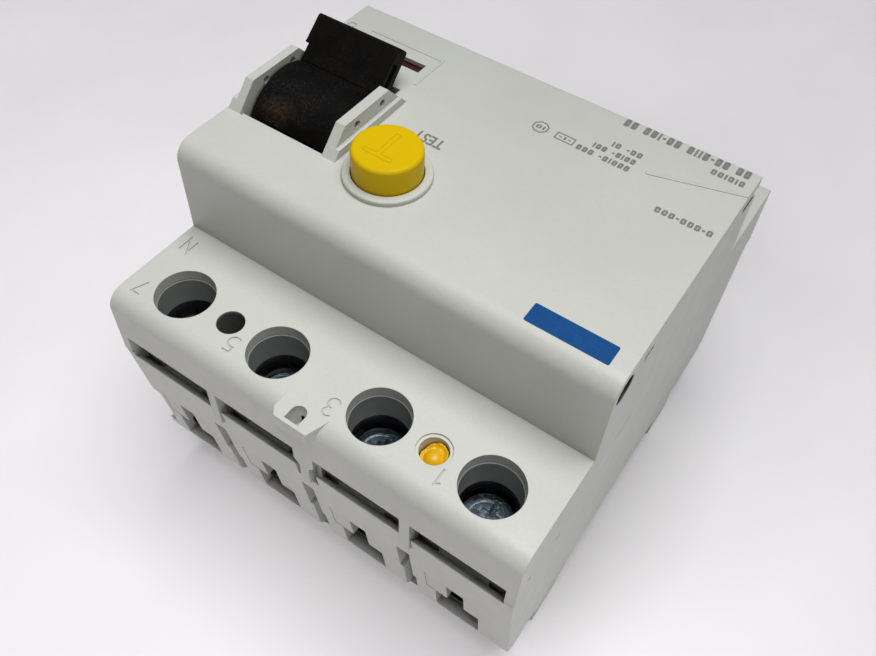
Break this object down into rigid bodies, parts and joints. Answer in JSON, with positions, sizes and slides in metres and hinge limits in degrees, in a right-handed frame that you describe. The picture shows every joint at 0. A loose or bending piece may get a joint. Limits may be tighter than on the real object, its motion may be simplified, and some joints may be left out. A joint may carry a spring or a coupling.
{
  "type": "residual current device",
  "caption": "Rail-mounted residual current device with a black operating lever, a round yellow test button, an indicator window and caged screw terminals.",
  "frame": {"origin": "centre of the body's width on the rail seat plane, midway between the rail's edges", "axes": "+X across the modules towards the neutral pole and the lever, +Y towards the terminals marked 1, 3, 5 and 7N, +Z out of the panel through the lever and button"},
  "size_m": [0.07, 0.0811, 0.0723],
  "materials": {
    "case_plastic": "fine matt moulded light grey",
    "lever_plastic": "black, worn and dusty",
    "yellow_plastic": "satin saturated yellow",
    "dark_plastic": "dark grey moulded",
    "guard_plastic": "light grey moulded",
    "zinc_steel": "bright zinc plate, slightly blue",
    "spring_steel": "drawn spring wire",
    "copper": "bare copper, lightly oxidised",
    "silver_contact": "silver contact rivets",
    "wire_insulation": "enamelled conductor",
    "fibre": "vulcanised fibre",
    "flag_red": "dark red indicator face",
    "relay_plastic": "dark moulded",
    "winding_copper": "wound enamelled wire",
    "magnet": "sintered magnet",
    "core_band": "wound core band",
    "board_green": "coated board",
    "component_blue": "coated component bodies"
  },
  "bodies": {
    "housing": {"arc_plates": "zinc_steel", "arc_sides": "fibre", "base_housing": "case_plastic", "board_capacitor": "component_blue", "board_screws": "zinc_steel", "button_spring": "spring_steel", "circuit_board": "board_green", "fixed_contact_tips": "silver_contact", "front_cover": "case_plastic", "housing_screws": "zinc_steel", "indicator_pin": "zinc_steel", "line_terminal_bars": "copper", "load_terminal_bars": "copper", "mechanism_frame": "zinc_steel", "pole_conductors": "wire_insulation", "relay_case": "relay_plastic", "relay_coil": "winding_copper", "relay_magnet": "magnet", "relay_yoke": "zinc_steel", "seal_plug": "yellow_plastic", "terminal_shroud_line": "dark_plastic", "terminal_shroud_load": "dark_plastic", "test_contact": "copper", "test_resistor": "component_blue", "toggle_axle": "zinc_steel", "toggle_spring": "spring_steel", "toroid_case": "relay_plastic", "toroid_core": "core_band", "toroid_lid": "relay_plastic", "trip_pin": "zinc_steel", "wire_guards_line": "guard_plastic", "wire_guards_load": "guard_plastic"},
    "toggle": {"toggle": "lever_plastic"},
    "drive_link": {"drive_link": "zinc_steel"},
    "indicator_flag": {"indicator_flag": "flag_red"},
    "trip_lever": {"trip_lever": "zinc_steel"},
    "relay_plunger": {"relay_plunger": "zinc_steel"},
    "test_button": {"test_button": "yellow_plastic"},
    "rail_clip_left": {"rail_clip_left": "zinc_steel"},
    "rail_clip_right": {"rail_clip_right": "zinc_steel"},
    "contact_shaft": {"contact_shaft": "dark_plastic", "moving_contacts": "copper", "moving_contact_tips": "silver_contact", "contact_springs": "spring_steel"},
    "terminal_screw_7n": {"terminal_screw_7n": "zinc_steel"},
    "terminal_cage_7n": {"terminal_cage_7n": "zinc_steel"},
    "terminal_screw_5": {"terminal_screw_5": "zinc_steel"},
    "terminal_cage_5": {"terminal_cage_5": "zinc_steel"},
    "terminal_screw_3": {"terminal_screw_3": "zinc_steel"},
    "terminal_cage_3": {"terminal_cage_3": "zinc_steel"},
    "terminal_screw_1": {"terminal_screw_1": "zinc_steel"},
    "terminal_cage_1": {"terminal_cage_1": "zinc_steel"},
    "terminal_screw_8n": {"terminal_screw_8n": "zinc_steel"},
    "terminal_cage_8n": {"terminal_cage_8n": "zinc_steel"},
    "terminal_screw_6": {"terminal_screw_6": "zinc_steel"},
    "terminal_cage_6": {"terminal_cage_6": "zinc_steel"},
    "terminal_screw_4": {"terminal_screw_4": "zinc_steel"},
    "terminal_cage_4": {"terminal_cage_4": "zinc_steel"},
    "terminal_screw_2": {"terminal_screw_2": "zinc_steel"},
    "terminal_cage_2": {"terminal_cage_2": "zinc_steel"}
  },
  "joints": [
    {"name": "toggle_hinge", "type": "hinge", "parent": "housing", "child": "toggle", "pos_m": [0.02485, 0.0026, 0.0542], "axis": [-1, 0, 0], "range_deg": [0, 84]},
    {"name": "link_hinge", "type": "hinge", "parent": "toggle", "child": "drive_link", "pos_m": [0.0211, 0.0071, 0.0542], "axis": [-1, 0, 0], "range_deg": [-88, 0.3]},
    {"name": "contact_shaft_hinge", "type": "hinge", "parent": "housing", "child": "contact_shaft", "pos_m": [0, 0.004, 0.024], "axis": [-1, 0, 0], "range_deg": [-0.1, 24.1]},
    {"name": "indicator_flag_hinge", "type": "hinge", "parent": "housing", "child": "indicator_flag", "pos_m": [0.023, -0.013, 0.044], "axis": [-1, 0, 0], "range_deg": [-13.1, 0.1]},
    {"name": "relay_plunger_slide", "type": "slide", "parent": "housing", "child": "relay_plunger", "axis": [1, 0, 0], "range_m": [0, 0.0014]},
    {"name": "trip_lever_hinge", "type": "hinge", "parent": "housing", "child": "trip_lever", "pos_m": [0.0153, -0.006, 0.0356], "axis": [0, 1, 0], "range_deg": [-0.1, 13]},
    {"name": "test_button_slide", "type": "slide", "parent": "housing", "child": "test_button", "axis": [0, 0, -1], "range_m": [0, 0.0028], "deforming": ["button_spring"]},
    {"name": "rail_clip_right_slide", "type": "slide", "parent": "housing", "child": "rail_clip_right", "axis": [0, -1, 0], "range_m": [0, 0.004]},
    {"name": "rail_clip_left_slide", "type": "slide", "parent": "housing", "child": "rail_clip_left", "axis": [0, -1, 0], "range_m": [0, 0.004]},
    {"name": "terminal_screw_7n_turn", "type": "hinge", "parent": "housing", "child": "terminal_screw_7n", "pos_m": [0.02625, 0.0331, 0.0344], "axis": [0, 0, -1], "range_deg": [-2, 3602]},
    {"name": "terminal_cage_7n_lift", "type": "slide", "parent": "housing", "child": "terminal_cage_7n", "axis": [0, 0, 1], "range_m": [0, 0.008]},
    {"name": "terminal_screw_5_turn", "type": "hinge", "parent": "housing", "child": "terminal_screw_5", "pos_m": [0.00875, 0.0331, 0.0344], "axis": [0, 0, -1], "range_deg": [-2, 3602]},
    {"name": "terminal_cage_5_lift", "type": "slide", "parent": "housing", "child": "terminal_cage_5", "axis": [0, 0, 1], "range_m": [0, 0.008]},
    {"name": "terminal_screw_3_turn", "type": "hinge", "parent": "housing", "child": "terminal_screw_3", "pos_m": [-0.00875, 0.0331, 0.0344], "axis": [0, 0, -1], "range_deg": [-2, 3602]},
    {"name": "terminal_cage_3_lift", "type": "slide", "parent": "housing", "child": "terminal_cage_3", "axis": [0, 0, 1], "range_m": [0, 0.008]},
    {"name": "terminal_screw_1_turn", "type": "hinge", "parent": "housing", "child": "terminal_screw_1", "pos_m": [-0.02625, 0.0331, 0.0344], "axis": [0, 0, -1], "range_deg": [-2, 3602]},
    {"name": "terminal_cage_1_lift", "type": "slide", "parent": "housing", "child": "terminal_cage_1", "axis": [0, 0, 1], "range_m": [0, 0.008]},
    {"name": "terminal_screw_8n_turn", "type": "hinge", "parent": "housing", "child": "terminal_screw_8n", "pos_m": [0.02625, -0.0331, 0.0344], "axis": [0, 0, -1], "range_deg": [-2, 3602]},
    {"name": "terminal_cage_8n_lift", "type": "slide", "parent": "housing", "child": "terminal_cage_8n", "axis": [0, 0, 1], "range_m": [0, 0.008]},
    {"name": "terminal_screw_6_turn", "type": "hinge", "parent": "housing", "child": "terminal_screw_6", "pos_m": [0.00875, -0.0331, 0.0344], "axis": [0, 0, -1], "range_deg": [-2, 3602]},
    {"name": "terminal_cage_6_lift", "type": "slide", "parent": "housing", "child": "terminal_cage_6", "axis": [0, 0, 1], "range_m": [0, 0.008]},
    {"name": "terminal_screw_4_turn", "type": "hinge", "parent": "housing", "child": "terminal_screw_4", "pos_m": [-0.00875, -0.0331, 0.0344], "axis": [0, 0, -1], "range_deg": [-2, 3602]},
    {"name": "terminal_cage_4_lift", "type": "slide", "parent": "housing", "child": "terminal_cage_4", "axis": [0, 0, 1], "range_m": [0, 0.008]},
    {"name": "terminal_screw_2_turn", "type": "hinge", "parent": "housing", "child": "terminal_screw_2", "pos_m": [-0.02625, -0.0331, 0.0344], "axis": [0, 0, -1], "range_deg": [-2, 3602]},
    {"name": "terminal_cage_2_lift", "type": "slide", "parent": "housing", "child": "terminal_cage_2", "axis": [0, 0, 1], "range_m": [0, 0.008]}
  ],
  "couplings": [
    {"joint": "link_hinge", "follows": "toggle_hinge", "ratio": -1.0446},
    {"joint": "contact_shaft_hinge", "follows": "toggle_hinge", "ratio": 0.28571},
    {"joint": "indicator_flag_hinge", "follows": "toggle_hinge", "ratio": -0.15476},
    {"joint": "trip_lever_hinge", "follows": "relay_plunger_slide", "rad_per_m": 160},
    {"joint": "terminal_screw_7n_turn", "follows": "terminal_cage_7n_lift", "rad_per_m": 7854},
    {"joint": "terminal_screw_5_turn", "follows": "terminal_cage_5_lift", "rad_per_m": 7854},
    {"joint": "terminal_screw_3_turn", "follows": "terminal_cage_3_lift", "rad_per_m": 7854},
    {"joint": "terminal_screw_1_turn", "follows": "terminal_cage_1_lift", "rad_per_m": 7854},
    {"joint": "terminal_screw_8n_turn", "follows": "terminal_cage_8n_lift", "rad_per_m": 7854},
    {"joint": "terminal_screw_6_turn", "follows": "terminal_cage_6_lift", "rad_per_m": 7854},
    {"joint": "terminal_screw_4_turn", "follows": "terminal_cage_4_lift", "rad_per_m": 7854},
    {"joint": "terminal_screw_2_turn", "follows": "terminal_cage_2_lift", "rad_per_m": 7854}
  ]
}
